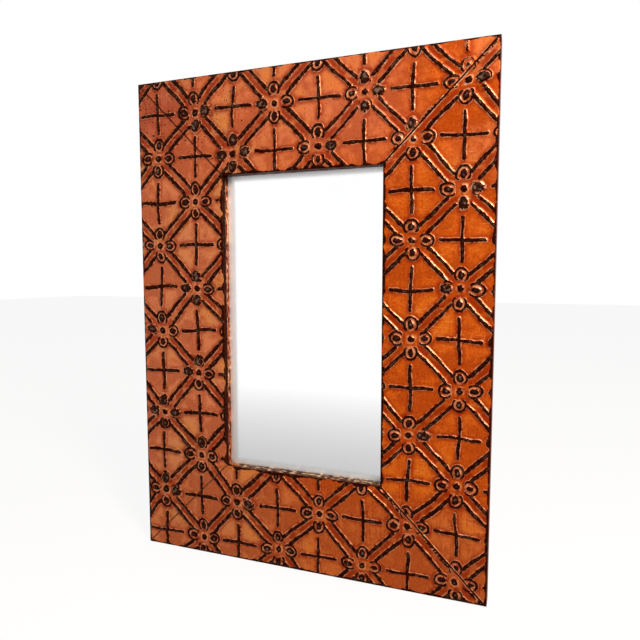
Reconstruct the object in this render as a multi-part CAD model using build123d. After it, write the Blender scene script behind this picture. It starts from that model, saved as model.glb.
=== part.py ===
from build123d import *

import os
from math import cos, floor, radians, sin, sqrt, tan

# A wall mirror in a frame of pressed tin. Four mitred pine rails are each wrapped in an embossed tin
# sheet, a plate of mirror glass and a hardboard back sit in the rabbet behind them, and two D-ring
# hangers are screwed to the side rails. Lengths are in millimetres. X runs to the right as one looks at
# the mirror, Z up, and the face looks along -Y. The origin is the middle of the rails' back plane.

# ---- Frame ----
frame_width = 408.0
frame_height = 559.0
rail_width = 111.5  # outer edge to sight edge, over the tin
board_thickness = 19.0
edge_ease = 1.0  # rounding of the board edges that the tin folds over

# ---- Glass and its back ----
rabbet_lip = 9.5  # wood in front of the glass on each side
rabbet_depth = 7.0
glass_thickness = 3.0
glass_clearance = 1.0
backing_thickness = 2.5

# ---- Tin sheets ----
tin_thickness = 0.4
mitre_gap = 0.3  # between neighbouring sheets, square to the mitre
hem_width = 12.0  # turned over onto the back of the rail
return_gap = 0.3  # between the edge of the sheet and the glass

# ---- Pressed lattice: a flower on every second crossing, a cross in every second field ----
lattice_pitch = 100.0
lattice_left = 76.7  # frame's left edge to the first full column of flowers
lattice_top = 38.6  # frame's top edge to the first row of flowers
rib_spacing = 10.4  # between the two beads of a rib
rib_start = 16.0  # flower centre to the end of a rib
rib_bead_width = 4.4
rib_bead_height = 1.4
cross_span = 46.0
cross_bead_width = 4.0
cross_bead_height = 1.2
petal_offset = 14.0  # flower centre to petal centre
petal_length = 10.0
petal_width = 8.0
petal_height = 1.7
petal_crest = 5.0  # length of the line along the top of a petal
boss_width = 7.6  # bead at the heart of the flower
boss_length = 8.6
boss_height = 1.6
boss_crest = 2.6
relief_margin = 0.6  # plain strip between the relief and the folds
relief_least = 2.0  # volume of the smallest cut-off bit of relief that is kept

# ---- V-nails across the mitres ----
v_nail_leg = 10.0
v_nail_depth = 12.0
v_nail_thickness = 0.6
v_nail_count = 3
v_nail_inset = 18.0  # from the rail's outer edge, and from the rabbet

# ---- Cut tacks through the hem ----
tack_spacing = 130.0
tack_end_margin = 24.0
tack_length = 9.0
tack_shank = 1.2
tack_draft = 2.5
tack_head_width = 4.6
tack_head_sides = 8
tack_head_thickness = 0.5

# ---- Glazier's points that hold the back in the rabbet ----
point_spacing = 110.0
point_end_margin = 36.0
point_width = 9.0
point_reach = 5.0  # over the hardboard
point_bite = 6.0  # into the wood
point_thickness = 0.4

# ---- D-ring hangers ----
hanger_inset = 55.0  # frame's outer edge to the middle of the strap
hanger_drop = 150.0  # frame's top edge to the ring's bar
strap_width = 14.0
strap_length = 31.0
strap_thickness = 1.0
strap_corner = 3.0
ring_wire = 2.6
ring_bar = 22.0  # between the middles of the ring's two sides
ring_reach = 15.0  # bar to the far middle of the bow
ring_corner = 2.8
ring_clearance = 0.08  # radial, between the ring's bar and the strap's eye
ring_rest_tilt = 4.0  # degrees that a hanging ring stands off the strap
corner_steps = 1  # straight steps in each bend of the wire
bow_steps = 6
screw_drop = 23.0  # bar to the screw
screw_hole = 4.2
screw_shank = 3.5
screw_length = 12.7
screw_head_width = 7.0
screw_head_height = 2.2

# ---- Worked-out places ----
face_depth = board_thickness + tin_thickness  # back plane to the flat of the tin face
wood_sight = rail_width - tin_thickness  # frame edge to the wood's sight edge
rabbet_edge = wood_sight - rabbet_lip  # frame edge to the rabbet's wall
fold_radius = edge_ease + tin_thickness

# Each rail is made lying along X with its outer edge at Z = 0, then turned and moved to its side.
SIDES = {
    "top": {"length": frame_width, "reach": frame_height / 2, "turn": 0},
    "right": {"length": frame_height, "reach": frame_width / 2, "turn": 90},
    "bottom": {"length": frame_width, "reach": frame_height / 2, "turn": 180},
    "left": {"length": frame_height, "reach": frame_width / 2, "turn": -90},
}
CORNERS = {
    "top_left": (-1, 1),
    "top_right": (1, 1),
    "bottom_right": (1, -1),
    "bottom_left": (-1, -1),
}


def at_depth(depth):
    """A sketch plane facing the front, a given depth in front of the rails' back plane."""
    return Plane.XZ.offset(depth)


def on_side(side, piece):
    """Move a piece from the place where rails are made to its side of the frame."""
    return Rot(0, SIDES[side]["turn"], 0) * (Pos(0, 0, SIDES[side]["reach"]) * piece)


def spread(length, end_margin, spacing):
    """Places along a length, from one end margin to the other, about a spacing apart."""
    room = length - 2 * end_margin
    gaps = max(1, round(room / spacing))
    return [room * (i / gaps - 0.5) for i in range(gaps + 1)]


# ---- Rails and sheets ----
def band(back, front, outer, inner):
    """A rectangle of the rail's section: back and front are depths, outer and inner frame-edge distances."""
    place = Pos(-(back + front) / 2, -(outer + inner) / 2)
    return Plane.YZ * place * Rectangle(front - back, inner - outer)


def eased_band(back, front, outer, inner, radius):
    """The same rectangle with its outer corners and its front sight corner rounded."""
    section = band(back, front, outer, inner)
    corners = [(back, outer), (front, outer), (front, inner)]
    picked = [section.vertices().sort_by_distance((0, -depth, -edge))[0] for depth, edge in corners]
    return fillet(picked, radius)


def mitred(section, length, setback):
    """Draw a section out along the rail and cut both ends at 45 degrees, a setback short of the corner."""
    half = length / 2 - setback * sqrt(2)
    above, below = edge_ease, rail_width + edge_ease
    outline = Polyline(
        (-half - above, above),
        (half + above, above),
        (half - below, -below),
        (-half + below, -below),
        close=True,
    )
    ends = extrude(Plane.XZ * make_face(outline), face_depth + hem_width, both=True)
    return extrude(section, length / 2, both=True) & ends


def rail_blank(side):
    """One pine rail with its rabbet, before anything is driven into it."""
    board = eased_band(0, board_thickness, tin_thickness, wood_sight, edge_ease)
    rabbet = band(-edge_ease, rabbet_depth, rabbet_edge, rail_width)
    return on_side(side, mitred(board - rabbet, SIDES[side]["length"], 0))


def sheet_section():
    """The folded sheet: hem, outer edge, face and sight return in one strip."""
    outside = eased_band(-tin_thickness, face_depth, 0, rail_width, fold_radius)
    inside = eased_band(0, board_thickness, tin_thickness, wood_sight, edge_ease)
    open_back = band(-hem_width, rabbet_depth + return_gap, hem_width, rail_width + edge_ease)
    return outside - inside - open_back


# ---- Relief ----
def polyhedron(*faces):
    """A solid from the corners of its flat faces."""
    return Solid(Shell([Face(Wire.make_polygon(corners)) for corners in faces]))


def drafted(outline, draft, depth, height):
    """A solid with flat sloping sides, from its outline at a depth to a smaller crown in front of it."""
    foot = [(x, -depth, z) for x, z in outline]
    crown = inset(outline, height * tan(radians(draft)))
    top = [(x, -depth - height, z) for x, z in crown]
    count = len(outline)
    sides = [(foot[i], foot[(i + 1) % count], top[(i + 1) % count], top[i]) for i in range(count)]
    return polyhedron(foot, top, *sides)


def inset(outline, amount):
    """Move every side of an outline, given anticlockwise, inwards by the same amount."""
    count = len(outline)
    moved = []
    for i, corner in enumerate(outline):
        before = Vector(*corner) - Vector(*outline[i - 1])
        after = Vector(*outline[(i + 1) % count]) - Vector(*corner)
        normals = [Vector(-side.Y, side.X).normalized() for side in (before, after)]
        shift = (normals[0] + normals[1]) * (amount / (1 + normals[0].dot(normals[1])))
        moved.append((corner[0] + shift.X, corner[1] + shift.Y))
    return moved


def petal(width, length, crest, height):
    """A six-sided bead on the tin's face, longest along Z, that rises on all sides to a short crest."""
    side, tip, foot, top = width / 2, length / 2, -face_depth, -face_depth - height
    corners = [(side, -tip / 2), (side, tip / 2), (0, tip), (-side, tip / 2), (-side, -tip / 2), (0, -tip)]
    outline = [(x, foot, z) for x, z in corners]
    low_right, high_right, high_tip, high_left, low_left, low_tip = outline
    low, high = (0, top, -crest / 2), (0, top, crest / 2)
    flanks = [(low_right, high_right, high, low), (high_left, low_left, low, high)]
    high_end = [(high_right, high_tip, high), (high_tip, high_left, high)]
    low_end = [(low_left, low_tip, low), (low_tip, low_right, low)]
    return polyhedron(outline, *flanks, *high_end, *low_end)


def ridge(length, width, height):
    """A straight bead along X on the tin's face, its crest hipped down at both ends."""
    x, z = length / 2, width / 2
    foot = [(-x, -face_depth, -z), (x, -face_depth, -z), (x, -face_depth, z), (-x, -face_depth, z)]
    left, right = (z - x, -face_depth - height, 0), (x - z, -face_depth - height, 0)
    slopes = [(foot[0], foot[1], right, left), (foot[2], foot[3], left, right)]
    hips = [(foot[1], foot[2], right), (foot[3], foot[0], left)]
    return polyhedron(foot, *slopes, *hips)


def flower():
    """Four petals round a heart."""
    leaf = petal(petal_width, petal_length, petal_crest, petal_height)
    heart = petal(boss_width, boss_length, boss_crest, boss_height)
    return [heart] + [Rot(0, 90 * i, 0) * (Pos(0, 0, petal_offset) * leaf) for i in range(4)]


def cross():
    """Two straight beads that cross, pressed as one."""
    arm = ridge(cross_span, cross_bead_width, cross_bead_height)
    return [arm.fuse(Rot(0, 90, 0) * arm)]


def rib():
    """Two parallel beads between a flower and the next one down to the right."""
    line = ridge(lattice_pitch / sqrt(2) - 2 * rib_start, rib_bead_width, rib_bead_height)
    quarter = lattice_pitch / 4
    pair = [Pos(0, 0, offset) * line for offset in (-rib_spacing / 2, rib_spacing / 2)]
    return [Pos(quarter, 0, -quarter) * (Rot(0, 45, 0) * piece) for piece in pair]


def lattice():
    """Every bead of the lattice that lies on or near the frame, in place."""
    flower_beads, cross_beads, rib_right = flower(), cross(), rib()
    rib_left = [mirror(piece, about=Plane.YZ) for piece in rib_right]
    half = lattice_pitch / 2
    left = lattice_left - frame_width / 2
    top = frame_height / 2 - lattice_top
    columns = range(-floor(lattice_left / half) - 1, floor((frame_width - lattice_left) / half) + 2)
    rows = range(-floor(lattice_top / half) - 1, floor((frame_height - lattice_top) / half) + 2)
    beads = []
    for column in columns:
        for row in rows:
            here = Pos(left + column * half, 0, top - row * half)
            motif = flower_beads + rib_right + rib_left if (column + row) % 2 == 0 else cross_beads
            beads += [here * piece for piece in motif]
    return beads


def relief_field(side):
    """The flat of one sheet's face, as a slab that the relief has to stay in."""
    plain_edge = fold_radius + relief_margin
    flat = band(face_depth - tin_thickness, face_depth + hem_width, plain_edge, rail_width - plain_edge)
    return on_side(side, mitred(flat, SIDES[side]["length"], mitre_gap / 2))


def relief_on(side, beads):
    """The beads that stand on one sheet, cut where they meet a fold or a mitre."""
    field = relief_field(side)
    box = field.bounding_box()
    kept = []
    for piece in beads:
        reach = piece.bounding_box()
        apart_x = reach.min.X > box.max.X or reach.max.X < box.min.X
        apart_z = reach.min.Z > box.max.Z or reach.max.Z < box.min.Z
        if apart_x or apart_z:
            continue
        cut = field & piece
        kept += [bit for bit in cut.solids() if bit.volume > relief_least]
    return kept


def tin_sheet(side, beads):
    """One sheet, folded round its rail and pressed with its share of the lattice."""
    folded = on_side(side, mitred(sheet_section(), SIDES[side]["length"], mitre_gap / 2))
    return folded.fuse(*relief_on(side, beads))


# ---- Fasteners ----
def v_nails(corner):
    """The nails that pull one mitre together, a leg of each V in either rail, flush with the back."""
    sign_x, sign_z = CORNERS[corner]
    leg, thick = v_nail_leg, v_nail_thickness
    bent = [(0, 0), (-leg, 0), (-leg, -thick), (-thick, -thick), (-thick, -leg), (0, -leg)]
    outline = make_face(Polyline([(sign_x * x, sign_z * z) for x, z in bent], close=True))
    nail = extrude(at_depth(0) * outline, v_nail_depth)
    step = (rabbet_edge - 2 * v_nail_inset) / (v_nail_count - 1)
    from_edge = [v_nail_inset + i * step for i in range(v_nail_count)]
    return [
        Pos(sign_x * (frame_width / 2 - edge), 0, sign_z * (frame_height / 2 - edge)) * nail
        for edge in from_edge
    ]


def tack():
    """A cut tack through the hem: a flat many-sided head and a square shank that narrows to its tip."""
    hem_face = at_depth(-tin_thickness)
    head = extrude(hem_face * RegularPolygon(tack_head_width / 2, tack_head_sides), -tack_head_thickness)
    half = tack_shank / 2
    square = [(-half, -half), (half, -half), (half, half), (-half, half)]
    shank = drafted(square, tack_draft, -tin_thickness, tack_length)
    return head.fuse(shank)


def hem_places(side):
    """Where the tacks of one rail go, in the middle of its hem."""
    length = SIDES[side]["length"]
    return [Pos(x, 0, -hem_width / 2) for x in spread(length, tack_end_margin, tack_spacing)]


def glazier_point():
    """A thin steel arrowhead that lies on the hardboard with its tip in the rabbet's wall."""
    outline = Polyline(
        (-point_width / 2, -rabbet_edge - point_reach),
        (point_width / 2, -rabbet_edge - point_reach),
        (0, -rabbet_edge + point_bite),
        close=True,
    )
    backing_back = rabbet_depth - glass_thickness - backing_thickness
    return extrude(at_depth(backing_back) * make_face(outline), -point_thickness)


def point_places(side):
    """Where the points of one rail go, along its stretch of rabbet."""
    opening = SIDES[side]["length"] - 2 * rabbet_edge
    return [Pos(x, 0, 0) for x in spread(opening, point_end_margin, point_spacing)]


# ---- Hanger, made with its ring's bar along X at Z = 0 ----
def bar_depth():
    """Distance of the ring's bar behind the rails' back plane."""
    return strap_thickness + ring_wire / 2 + ring_clearance


def strap():
    """A steel strap with an eye rolled at its top end for the ring's bar."""
    eye_bore = ring_wire / 2 + ring_clearance
    eye = Plane.YZ * Pos(bar_depth(), 0) * Circle(eye_bore + strap_thickness)
    plate = Plane.YZ * Pos(strap_thickness / 2, -strap_length / 2) * Rectangle(strap_thickness, strap_length)
    bore = Plane.YZ * Pos(bar_depth(), 0) * Circle(eye_bore)
    body = extrude(eye + plate - bore, strap_width / 2, both=True)
    foot = body.edges().filter_by(Axis.Y).group_by(Axis.Z)[0]
    body = fillet(foot, strap_corner)
    hole = extrude(at_depth(0) * Circle(screw_hole / 2), strap_thickness, both=True)
    return body - Pos(0, 0, -screw_drop) * hole


def screw():
    """A screw through the strap into the rail, its thread left plain."""
    head = extrude(at_depth(-strap_thickness) * Circle(screw_head_width / 2), -screw_head_height)
    return head + extrude(at_depth(-strap_thickness) * Circle(screw_shank / 2), screw_length)


def ring():
    """A D of round wire, bent in short straight steps, that hangs from its bar a little off the strap."""
    half_bar = ring_bar / 2
    shoulder = ring_reach - half_bar
    right = bend((half_bar - ring_corner, -ring_corner), ring_corner, 90, 0, corner_steps)
    left = bend((-half_bar + ring_corner, -ring_corner), ring_corner, 180, 90, corner_steps)
    bow = bend((0, -shoulder), half_bar, 0, -180, bow_steps)
    path = Plane.XZ * Polyline((0, 0), *right, *bow, *left, (0, 0))
    wire = sweep(Plane.YZ * Circle(ring_wire / 2), path=path, transition=Transition.RIGHT)
    return Pos(0, bar_depth(), 0) * (Rot(ring_rest_tilt, 0, 0) * wire)


def bend(middle, radius, start, end, steps):
    """Points along a bend, from one angle to another."""
    turns = [radians(start + (end - start) * i / steps) for i in range(steps + 1)]
    return [(middle[0] + radius * cos(turn), middle[1] + radius * sin(turn)) for turn in turns]


def hanger_place(side):
    sign = {"left": -1, "right": 1}[side]
    return Pos(sign * (frame_width / 2 - hanger_inset), 0, frame_height / 2 - hanger_drop)


# ---- Flat plates in the rabbet ----
def rabbet_plate(front, thickness):
    """A plate that stands on the bottom wall of the rabbet, its front at a given depth."""
    width = frame_width - 2 * rabbet_edge - 2 * glass_clearance
    height = frame_height - 2 * rabbet_edge - 2 * glass_clearance
    outline = at_depth(front) * Pos(0, -glass_clearance) * Rectangle(width, height)
    return extrude(outline, -thickness)


# ---- Making every piece ----
nodes = {
    "mirror_glass": rabbet_plate(rabbet_depth, glass_thickness),
    "backing_board": rabbet_plate(rabbet_depth - glass_thickness, backing_thickness),
}

driven = {side: [] for side in SIDES}  # what is driven into each rail
for corner in CORNERS:
    nails = v_nails(corner)
    nodes[f"v_nails_{corner}"] = Compound(children=nails)
    for side in SIDES:
        if side in corner:
            driven[side] += nails

for side in SIDES:
    tacks = [on_side(side, place * tack()) for place in hem_places(side)]
    points = [on_side(side, place * glazier_point()) for place in point_places(side)]
    nodes[f"hem_tacks_{side}"] = Compound(children=tacks)
    nodes[f"glazier_points_{side}"] = Compound(children=points)
    driven[side] += tacks + points

hanger_screws = []
for side in ("left", "right"):
    place = hanger_place(side)
    nodes[f"hanger_strap_{side}"] = place * strap()
    nodes[f"hanger_ring_{side}"] = place * ring()
    placed_screw = place * (Pos(0, 0, -screw_drop) * screw())
    hanger_screws.append(placed_screw)
    driven[side].append(placed_screw)
nodes["hanger_screws"] = Compound(children=hanger_screws)

lattice_beads = lattice()
for side in SIDES:
    tacks = nodes[f"hem_tacks_{side}"].solids()
    nodes[f"wood_rail_{side}"] = rail_blank(side).cut(*driven[side])
    nodes[f"tin_sheet_{side}"] = tin_sheet(side, lattice_beads).cut(*tacks)

os.makedirs("parts", exist_ok=True)
for name, piece in nodes.items():
    export_step(piece, f"parts/{name}.step")
print(len(nodes), "nodes written")
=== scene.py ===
# %% [markdown]
# # A wall mirror in a frame of pressed tin
#
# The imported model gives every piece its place: pine rails, folded tin sheets, glass, back, fasteners and
# hangers. This script gives them their surfaces. The tin is the piece that matters. It is thin sheet that was
# pressed over a pattern, folded round each rail, brushed with a copper-coloured lacquer and then rubbed with
# black over everything that stands up.
#
# The cells go in this order: the frame, a few helpers, the pressed pattern as a rule, the sheets that carry
# it, the finishes, the small metal, the wood and the glass, and last the room, the lamps and the camera.

# %% Load the frame
from math import cos, pi, radians, sin, sqrt

import bmesh
import bpy
from mathutils import Matrix, Vector


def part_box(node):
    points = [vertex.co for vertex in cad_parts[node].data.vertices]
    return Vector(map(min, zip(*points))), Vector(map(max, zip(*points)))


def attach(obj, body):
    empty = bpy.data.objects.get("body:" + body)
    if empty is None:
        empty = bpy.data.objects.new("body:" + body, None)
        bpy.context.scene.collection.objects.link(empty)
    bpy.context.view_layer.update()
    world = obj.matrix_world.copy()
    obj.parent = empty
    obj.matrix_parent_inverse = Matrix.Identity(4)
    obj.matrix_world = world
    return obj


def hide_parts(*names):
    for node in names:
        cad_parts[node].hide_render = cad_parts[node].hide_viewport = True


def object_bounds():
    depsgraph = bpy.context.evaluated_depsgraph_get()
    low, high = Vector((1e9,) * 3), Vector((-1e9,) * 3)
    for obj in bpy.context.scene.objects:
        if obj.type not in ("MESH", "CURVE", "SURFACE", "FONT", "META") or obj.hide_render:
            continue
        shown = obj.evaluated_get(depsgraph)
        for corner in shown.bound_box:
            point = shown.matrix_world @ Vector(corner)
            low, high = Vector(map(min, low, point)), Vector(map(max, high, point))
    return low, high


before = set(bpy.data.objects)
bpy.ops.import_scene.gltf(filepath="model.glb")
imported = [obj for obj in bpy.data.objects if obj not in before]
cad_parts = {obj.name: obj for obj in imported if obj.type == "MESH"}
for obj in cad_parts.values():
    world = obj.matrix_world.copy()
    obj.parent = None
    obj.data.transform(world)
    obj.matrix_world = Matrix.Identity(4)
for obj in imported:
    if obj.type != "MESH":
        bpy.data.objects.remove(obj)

MM = 0.001
SIDES = {"top": 0, "right": 90, "bottom": 180, "left": -90}  # degrees that a rail lying on top is turned
cad_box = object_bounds()
print("CAD box in mm:", [[round(v / MM, 1) for v in corner] for corner in cad_box])

# %% [markdown]
# ## Helpers
#
# Every colour below is written as the hex value that a screen shows, and Blender mixes colours in linear
# light, so one function turns the first into the second. One function adds a node, sets it and links it, and a
# sum inside a sum is written in brackets. It serves shader trees and geometry trees alike, because both know
# the same math and noise nodes. That matters here: one rule has to raise the metal and also to place the paint
# on it. A mask says where something applies, from 0 to 1, and is a product of smooth steps.

# %% Colour and node helpers
VECTOR, RANGE, NOISE = "ShaderNodeVectorMath", "ShaderNodeMapRange", "ShaderNodeTexNoise"
SMOOTH = {"interpolation_type": "SMOOTHSTEP"}


def linear(hexadecimal):
    """Linear red, green, blue and alpha of an sRGB hex colour."""
    channels = [int(hexadecimal[i:i + 2], 16) / 255 for i in (0, 2, 4)]
    return [c / 12.92 if c <= 0.04045 else ((c + 0.055) / 1.055) ** 2.4 for c in channels] + [1.0]


def feed(tree, node, *values, **named):
    """Set or link a node's inputs: values by order, the rest by name. A tuple that starts with an operation,
    such as ("ADD", a, b), becomes a math node of its own."""
    live = [socket for socket in node.inputs if socket.enabled]
    by_name = [next(s for s in live if s.name == name.replace("_", " ")) for name in named]
    for socket, value in [*zip(live, values), *zip(by_name, named.values())]:
        if isinstance(value, tuple) and isinstance(value[0], str):
            value = add(tree, *value)
        if isinstance(value, bpy.types.Node):
            value = next(s for s in value.outputs if s.enabled)
        if isinstance(value, bpy.types.NodeSocket):
            tree.links.new(value, socket)
        elif value is not None:
            socket.default_value = value
    return node


def add(tree, kind, *values, **named):
    """Add a node. Lower-case names are its properties, and the rest is fed to its inputs. A kind in capitals,
    such as ADD, is a math node with that operation."""
    if kind.isupper():
        kind, named["operation"] = "ShaderNodeMath", kind
    node = tree.nodes.new(kind)
    for name in [name for name in named if name[0].islower()]:
        setattr(node, name, named.pop(name))
    return feed(tree, node, *values, **named)


def mask(tree, *parts):
    """The parts multiplied together. A part (value, start, end) is first a smooth step, 0 at start and 1 at
    end, and start may be the larger."""
    result = None
    for part in parts:
        if isinstance(part, tuple) and not isinstance(part[0], str):
            part = add(tree, RANGE, *part, **SMOOTH)
        result = part if result is None else add(tree, "MULTIPLY", result, part)
    return result


def new_tree(name, kind, inputs, outputs):
    """An empty node tree with these sockets, given as names and their types, such as Float."""
    tree = bpy.data.node_groups.new(name, kind)
    for way, sockets in (("INPUT", inputs), ("OUTPUT", outputs)):
        for label, form in sockets.items():
            tree.interface.new_socket(label, in_out=way, socket_type=f"NodeSocket{form}")
    return tree


def new_object(name, data):
    """A new object that stands in the scene."""
    made = bpy.data.objects.new(name, data)
    bpy.context.scene.collection.objects.link(made)
    return made


print("the black in linear light:", [round(c, 4) for c in linear("220500")])

# %% [markdown]
# ## The pressed pattern, as a rule
#
# Turned by 45 degrees the pattern is a plain square grid: a flower on each crossing, a pair of straight beads
# along each line, and a cross in each field. So a place on the sheet is turned, folded back into one square of
# that grid with the wrap operation, and measured against five shapes there: rib, cross, petal, heart and the
# thin outline that runs round a petal. Each measure is a distance in millimetres. A distance can do two jobs:
# eased from the bead's edge to its middle it is a height, and divided by a painted width it says where the
# black sits.
#
# A sheet like this is drawn by hand and wears by hand. Noise bends the grid by a millimetre or two before the
# fold, so that no two ribs run quite alike, and it makes the beads a little wider here and narrower there.

# %% Sizes of the pressed pattern, in millimetres
PATTERN = {
    "Pitch": 100.0,  # flower to flower along a row
    "Rib spacing": 10.4,  # between the two beads of a rib
    "Rib start": 16.6,  # flower centre to the end of a rib
    "Cross reach": 21.6,  # cross centre to the middle of the arm's round end
    "Petal offset": 14.0,  # flower centre to petal centre
    "Outline radius": 6.4,  # the narrow way of the oval round a petal
    "Outline start": 9.4,  # flower centre to the open ends of an outline
}
FIRST_FLOWER = (76.7, 38.6)  # from the frame's left and top edges
BEADS = {  # half width of the bead, its height, and half width of the black on it
    "rib": (3.0, 1.45, 1.8),
    "cross": (2.7, 1.2, 1.65),
    "petal": (4.6, 1.7, 3.1),
    "heart": (4.4, 1.5, 3.4),
    "outline": (1.9, 0.9, 1.1),
}
CROWN = 0.25  # the part of a bead's half width over which its top is nearly flat
WANDER = [(55.0, 9.0), (9.0, 1.7)]  # span of a bend in the drawing, and how far it may shift a line
WIDTH_SPAN = 13.0  # length over which a bead swells and thins
WIDTH_CHANGE = 0.7  # by how much of itself
PETAL_SHAPE, OUTLINE_SHAPE = 0.72, 0.86  # how a petal and its outline are drawn out, where 1 is round
WORN_SPREAD, WORN_OUTLINE = 1.9, 1.3  # how much wider a filled petal is, and how much thinner its outline
UNPAINTED = 9.0  # a paint measure far from every edge
print(len(PATTERN), "sizes and", len(BEADS), "kinds of bead")


# %% The grid, bent and folded
def drawn_place(tree, place):
    """How far a place, in millimetres, lies from the first flower, bent by the hand that drew the lines."""
    corner = (cad_box[0].x / MM + FIRST_FLOWER[0], 0, cad_box[1].z / MM - FIRST_FLOWER[1])
    drawn = add(tree, VECTOR, place, corner, operation="SUBTRACT")
    for span, shift in WANDER:
        noise = add(tree, NOISE, place, Scale=1 / span, Detail=1.0)
        push = add(tree, VECTOR, noise.outputs["Color"], (0.5,) * 3, operation="SUBTRACT")
        drawn = add(tree, VECTOR, push, (shift,) * 3, drawn, operation="MULTIPLY_ADD")
    return add(tree, "ShaderNodeSeparateXYZ", drawn).outputs


def folded(tree, x, z, pitch):
    """A place folded into one square of the turned grid: its distances from the two lines that meet there, then
    its longer and shorter leg from the flower, and from the cross."""
    half = add(tree, "DIVIDE", pitch, 2.0)
    minus_half = add(tree, "MULTIPLY", half, -1.0)
    places = [
        [add(tree, "WRAP", ("ADD", (turned, x, z), shift), half, minus_half) for turned in ("ADD", "SUBTRACT")]
        for shift in (0.0, half)
    ]
    legs = []
    for fall, rise in places:
        across = add(tree, "ABSOLUTE", ("MULTIPLY", ("ADD", fall, rise), 0.5))
        upward = add(tree, "ABSOLUTE", ("MULTIPLY", ("SUBTRACT", fall, rise), 0.5))
        legs.append((add(tree, "MAXIMUM", across, upward), add(tree, "MINIMUM", across, upward)))
    off_lines = [add(tree, "MULTIPLY", ("ABSOLUTE", way), 1 / sqrt(2)) for way in places[0]]
    return off_lines, *legs


print("a square of the turned grid is", round(PATTERN["Pitch"] / sqrt(2), 1), "mm wide")


# %% Distances to the five shapes
def away(tree, along, aside):
    """Distance from a point, by its two legs."""
    return add(tree, VECTOR, add(tree, "ShaderNodeCombineXYZ", along, aside), operation="LENGTH")


def bead_distances(tree, given, bead_line, off_lines, from_flower, from_cross):
    """Distance in millimetres from the middle line of each kind of bead."""
    (out, aside), (cross_out, cross_aside) = from_flower, from_cross
    ribs = [
        away(tree, ("MAXIMUM", ("SUBTRACT", given["Rib start"], along), 0.0), ("SUBTRACT", off, bead_line))
        for off, along in (off_lines, off_lines[::-1])
    ]
    past_arm = ("MAXIMUM", ("SUBTRACT", cross_out, given["Cross reach"]), 0.0)
    past_petal = add(tree, "SUBTRACT", out, given["Petal offset"])
    petal = away(tree, ("MULTIPLY", past_petal, PETAL_SHAPE), aside)
    ring = ("SUBTRACT", away(tree, ("MULTIPLY", past_petal, OUTLINE_SHAPE), aside), given["Outline radius"])
    before_ring = ("MAXIMUM", ("SUBTRACT", given["Outline start"], out), 0.0)
    return {
        "rib": add(tree, "MINIMUM", *ribs),
        "cross": away(tree, past_arm, cross_aside),
        "petal": add(tree, "SUBTRACT", petal, ("MULTIPLY", given["Worn"], WORN_SPREAD)),
        "heart": away(tree, out, aside),
        "outline": add(tree, "MULTIPLY_ADD", given["Worn"], WORN_OUTLINE, away(tree, ring, before_ring)),
    }


# %% The pattern as a node group, for either kind of tree
def pressed_pattern(kind):
    """Height, paint, trough and nearness of the pattern at a place. kind is the type of the tree it serves."""
    inputs = {"Place": "Vector", "Worn": "Float", **dict.fromkeys(PATTERN, "Float")}
    outputs = dict.fromkeys(("Height", "Paint", "Trough", "Nearness"), "Float")
    tree = new_tree("pressed_pattern", kind, inputs, outputs)
    for name, size in PATTERN.items():
        tree.interface.items_tree[name].default_value = size
    given = add(tree, "NodeGroupInput").outputs
    place = add(tree, VECTOR, given["Place"], Scale=1 / MM, operation="SCALE")
    x, _, z = drawn_place(tree, place)
    off_lines, from_flower, from_cross = folded(tree, x, z, given["Pitch"])
    bead_line = add(tree, "DIVIDE", given["Rib spacing"], 2.0)
    distances = bead_distances(tree, given, bead_line, off_lines, from_flower, from_cross)

    # Heights and paint, with beads that swell and thin.
    swell = add(tree, NOISE, place, Scale=1 / WIDTH_SPAN, Detail=2.0).outputs[0]
    ragged = add(tree, "MULTIPLY_ADD", swell, WIDTH_CHANGE, 1 - WIDTH_CHANGE / 2)
    height, paint = 0.0, UNPAINTED
    for name, (half_width, bead_height, painted) in BEADS.items():
        measured = add(tree, "DIVIDE", distances[name], ragged)
        raised = add(tree, RANGE, measured, half_width, CROWN * half_width, 0.0, bead_height, **SMOOTH)
        height = add(tree, "MAXIMUM", height, raised)
        paint = add(tree, "MINIMUM", paint, ("DIVIDE", measured, painted))

    # The hollow between the two beads of a rib, and how near the closest straight bead is.
    troughs = [
        mask(tree, (off, ("SUBTRACT", bead_line, 1.5), 1.0), (along, 7.0, 12.0))
        for off, along in (off_lines, off_lines[::-1])
    ]
    nearest = ("MINIMUM", ("MINIMUM", distances["rib"], distances["outline"]), distances["cross"])
    add(tree, "NodeGroupOutput", height, paint, ("MAXIMUM", *troughs), mask(tree, (nearest, 8.0, 1.0)))
    print("pressed_pattern for", kind, "has", len(tree.nodes), "nodes")
    return tree


RAISED_PATTERN = pressed_pattern("GeometryNodeTree")
PAINTED_PATTERN = pressed_pattern("ShaderNodeTree")

# %% [markdown]
# ## The petals that the black has filled
#
# The black was rubbed on with a cloth, and some petals took more than others until their bead and outline ran
# together in one dark knob. Which ones is chance, so they are listed: flowers by their column and row
# in half pitches, petals by the way they point. The points become a small mesh, and Geometry Proximity turns
# it into a smooth measure that both the metal and the paint can use.

# %% Worn petals
WAYS = {"U": (0, 1), "D": (0, -1), "L": (-1, 0), "R": (1, 0)}
WORN_PETALS = {
    (0, 0): "RD", (2, 0): "L", (4, 0): "URD", (6, 0): "R", (1, 1): "ULRD", (3, 1): "R", (5, 1): "U",
    (6, 2): "RD", (0, 4): "ULD", (6, 4): "L", (-1, 5): "L", (0, 6): "UL", (-1, 7): "ULR", (5, 7): "R",
    (0, 8): "U", (-1, 9): "UR", (1, 9): "R",
}


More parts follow.
